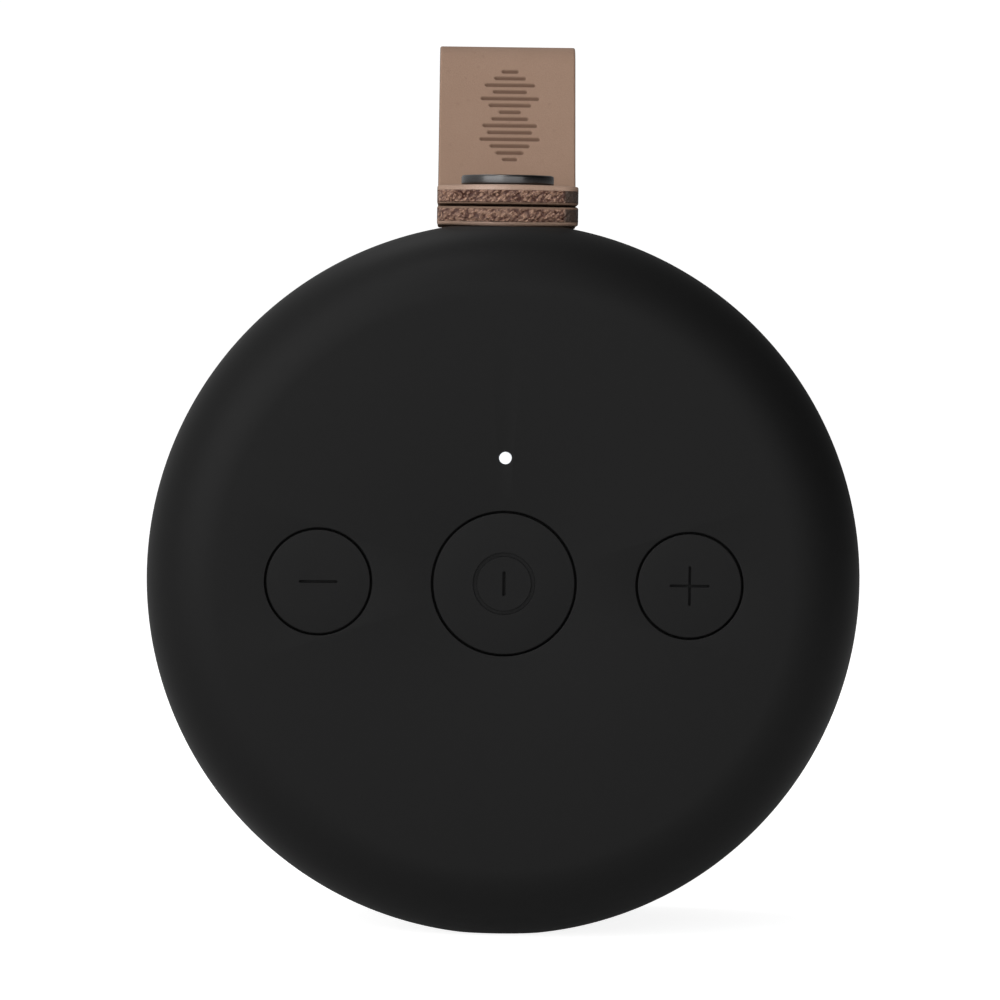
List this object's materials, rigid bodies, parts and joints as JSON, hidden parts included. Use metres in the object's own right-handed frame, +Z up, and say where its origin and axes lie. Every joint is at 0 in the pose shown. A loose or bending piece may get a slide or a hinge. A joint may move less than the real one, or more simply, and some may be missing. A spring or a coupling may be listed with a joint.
{
  "type": "portable bluetooth speaker",
  "caption": "Round palm-size speaker that stands on its rim, with flush keys on the flat face, a round grille behind and a leather snap loop on top for hanging it up.",
  "frame": {"origin": "centre of the flat face of the foot the speaker stands on", "axes": "+Z up towards the strap, +Y from the control face to the grille, +X towards the volume-up key and the charging port"},
  "size_m": [0.102, 0.0564, 0.1288],
  "materials": {
    "soft_touch_black": "matte",
    "black_rubber": "matte",
    "gunmetal": "satin",
    "black_cloth": "matte",
    "clear_light": "gloss",
    "tan_leather": "satin",
    "dark_nickel": "polished",
    "brass": "satin",
    "steel_screws": "satin",
    "board_green": "satin",
    "chip_black": "satin",
    "plunger_white": "satin",
    "tinned_steel": "satin",
    "capacitor_can": "satin",
    "socket_ivory": "satin",
    "cell_sleeve": "satin",
    "cradle_plastic": "matte",
    "lead_sleeve": "satin",
    "driver_steel": "satin",
    "ferrite": "matte",
    "cone_paper": "matte",
    "spider_cloth": "matte",
    "coil_former": "satin",
    "copper_wire": "satin"
  },
  "bodies": {
    "housing": {"rear_shell": "soft_touch_black", "front_shell": "soft_touch_black", "resting_foot": "black_rubber", "shell_seal": "black_rubber", "port_seal": "black_rubber", "driver_gasket": "black_rubber", "driver_surround": "black_rubber", "front_grille": "gunmetal", "grille_cloth": "black_cloth", "status_light_pipe": "clear_light", "status_led": "clear_light", "snap_stud": "dark_nickel", "strap_insert": "brass", "housing_screws": "steel_screws", "board_screws": "steel_screws", "cradle_screws": "steel_screws", "driver_screws": "steel_screws", "main_board": "board_green", "port_board": "board_green", "amplifier_chip": "chip_black", "switch_bodies": "chip_black", "usb_tongue": "chip_black", "port_header": "chip_black", "bluetooth_module": "tinned_steel", "usb_receptacle": "tinned_steel", "board_capacitors": "capacitor_can", "board_sockets": "socket_ivory", "battery_cell": "cell_sleeve", "battery_cradle": "cradle_plastic", "battery_leads": "lead_sleeve", "speaker_leads": "lead_sleeve", "driver_frame": "driver_steel", "driver_top_plate": "driver_steel", "driver_yoke": "driver_steel", "driver_magnet": "ferrite", "driver_spider": "spider_cloth", "driver_terminals": "copper_wire"},
    "volume_down_key": {"volume_down_button": "soft_touch_black", "volume_down_plunger": "plunger_white"},
    "power_key": {"power_button": "soft_touch_black", "power_plunger": "plunger_white"},
    "volume_up_key": {"volume_up_button": "soft_touch_black", "volume_up_plunger": "plunger_white"},
    "cone_assembly": {"driver_cone": "cone_paper", "driver_dust_cap": "cone_paper", "voice_coil_former": "coil_former", "voice_coil_winding": "copper_wire"},
    "strap_base": {"strap_base": "tan_leather"},
    "strap_loop": {"strap_loop": "tan_leather"},
    "strap_tab_root": {"strap_tab_root": "tan_leather"},
    "strap_tab": {"strap_tab": "tan_leather", "snap_cap": "dark_nickel", "snap_socket": "dark_nickel"}
  },
  "joints": [
    {"name": "volume_down_press", "type": "slide", "parent": "housing", "child": "volume_down_key", "axis": [0, 1, 0], "range_m": [0, 0.0003], "stiffness_N_per_m": 150},
    {"name": "power_press", "type": "slide", "parent": "housing", "child": "power_key", "axis": [0, 1, 0], "range_m": [0, 0.0003], "stiffness_N_per_m": 150},
    {"name": "volume_up_press", "type": "slide", "parent": "housing", "child": "volume_up_key", "axis": [0, 1, 0], "range_m": [0, 0.0003], "stiffness_N_per_m": 150},
    {"name": "cone_excursion", "type": "slide", "parent": "housing", "child": "cone_assembly", "axis": [0, 1, 0], "range_m": [-0.0025, 0.0025], "stiffness_N_per_m": 500, "deforming": ["driver_surround", "driver_spider"]},
    {"name": "strap_swivel", "type": "hinge", "parent": "housing", "child": "strap_base", "pos_m": [0, -0.002, 0.10125], "axis": [0, 0, 1], "continuous": true},
    {"name": "strap_swing", "type": "hinge", "parent": "strap_base", "child": "strap_loop", "pos_m": [0, 0.0125, 0.10425], "axis": [1, 0, 0], "range_deg": [-38, 30], "stiffness_Nm_per_rad": 0.02},
    {"name": "strap_fold", "type": "hinge", "parent": "strap_loop", "child": "strap_tab_root", "pos_m": [0, 0.0125, 0.10425], "axis": [1, 0, 0], "range_deg": [-30, 38], "stiffness_Nm_per_rad": 0.02},
    {"name": "snap_lift", "type": "hinge", "parent": "strap_tab_root", "child": "strap_tab", "pos_m": [0, 0.0062, 0.10585], "axis": [-1, 0, 0], "range_deg": [0, 45]}
  ],
  "couplings": [
    {"joint": "strap_fold", "follows": "strap_swing", "ratio": -1}
  ]
}
